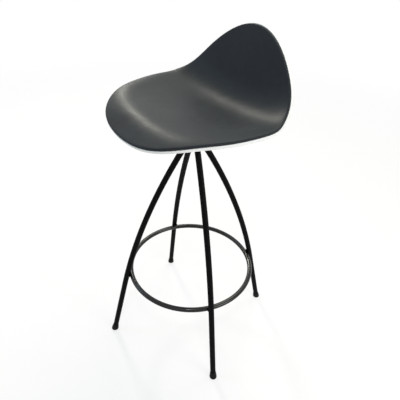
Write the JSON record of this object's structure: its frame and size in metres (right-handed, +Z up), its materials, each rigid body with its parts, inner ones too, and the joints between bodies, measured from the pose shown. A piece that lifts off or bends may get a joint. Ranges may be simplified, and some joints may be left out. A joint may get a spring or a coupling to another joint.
{
  "type": "swivel bar stool",
  "caption": "Tall swivel stool: a dark saddle seat skin with a low wrapped back on a white shell, turning on a hub over bent black rod legs with a foot ring.",
  "frame": {"origin": "on the floor, under the swivel axis, in the middle of the feet", "axes": "+Z up along the swivel axis; at rest the seat faces -Y, with +X to the viewer's right when looking along +Y"},
  "size_m": [0.5144, 0.5144, 0.9281],
  "materials": {
    "seat_skin": "matte soft-touch polyurethane, fine grain",
    "seat_shell": "satin moulded white",
    "black_steel": "satin black powder coat",
    "black_plastic": "moulded black",
    "zinc_steel": "zinc plated",
    "turned_steel": "turned and ground",
    "brass": "plain brass",
    "bush_nylon": "natural nylon"
  },
  "bodies": {
    "base": {"hub_tube": "black_steel", "upper_bush": "bush_nylon", "lower_bush": "bush_nylon", "hub_cap": "black_plastic", "lower_race": "turned_steel", "leg_welds": "black_steel", "footrest_ring": "black_steel", "ring_welds": "black_steel", "leg_right": "black_steel", "leg_back": "black_steel", "leg_left": "black_steel", "leg_front": "black_steel", "glide_right": "black_plastic", "glide_back": "black_plastic", "glide_left": "black_plastic", "glide_front": "black_plastic"},
    "seat": {"seat_pad": "seat_skin", "seat_shell": "seat_shell", "threaded_inserts": "brass", "mounting_plate": "black_steel", "plate_washers": "zinc_steel", "plate_screws": "zinc_steel", "spindle": "turned_steel", "spindle_weld": "black_steel", "bearing_shroud": "black_plastic", "upper_race": "turned_steel", "thrust_washer": "zinc_steel", "circlip": "zinc_steel"},
    "bearing_cage": {"ball_cage": "brass", "bearing_balls": "turned_steel"}
  },
  "joints": [
    {"name": "seat_swivel", "type": "hinge", "parent": "base", "child": "seat", "pos_m": [0, 0, 0.7], "axis": [0, 0, 1], "continuous": true},
    {"name": "cage_swivel", "type": "hinge", "parent": "base", "child": "bearing_cage", "pos_m": [0, 0, 0.7], "axis": [0, 0, 1], "continuous": true}
  ],
  "couplings": [
    {"joint": "cage_swivel", "follows": "seat_swivel", "ratio": 0.5}
  ]
}
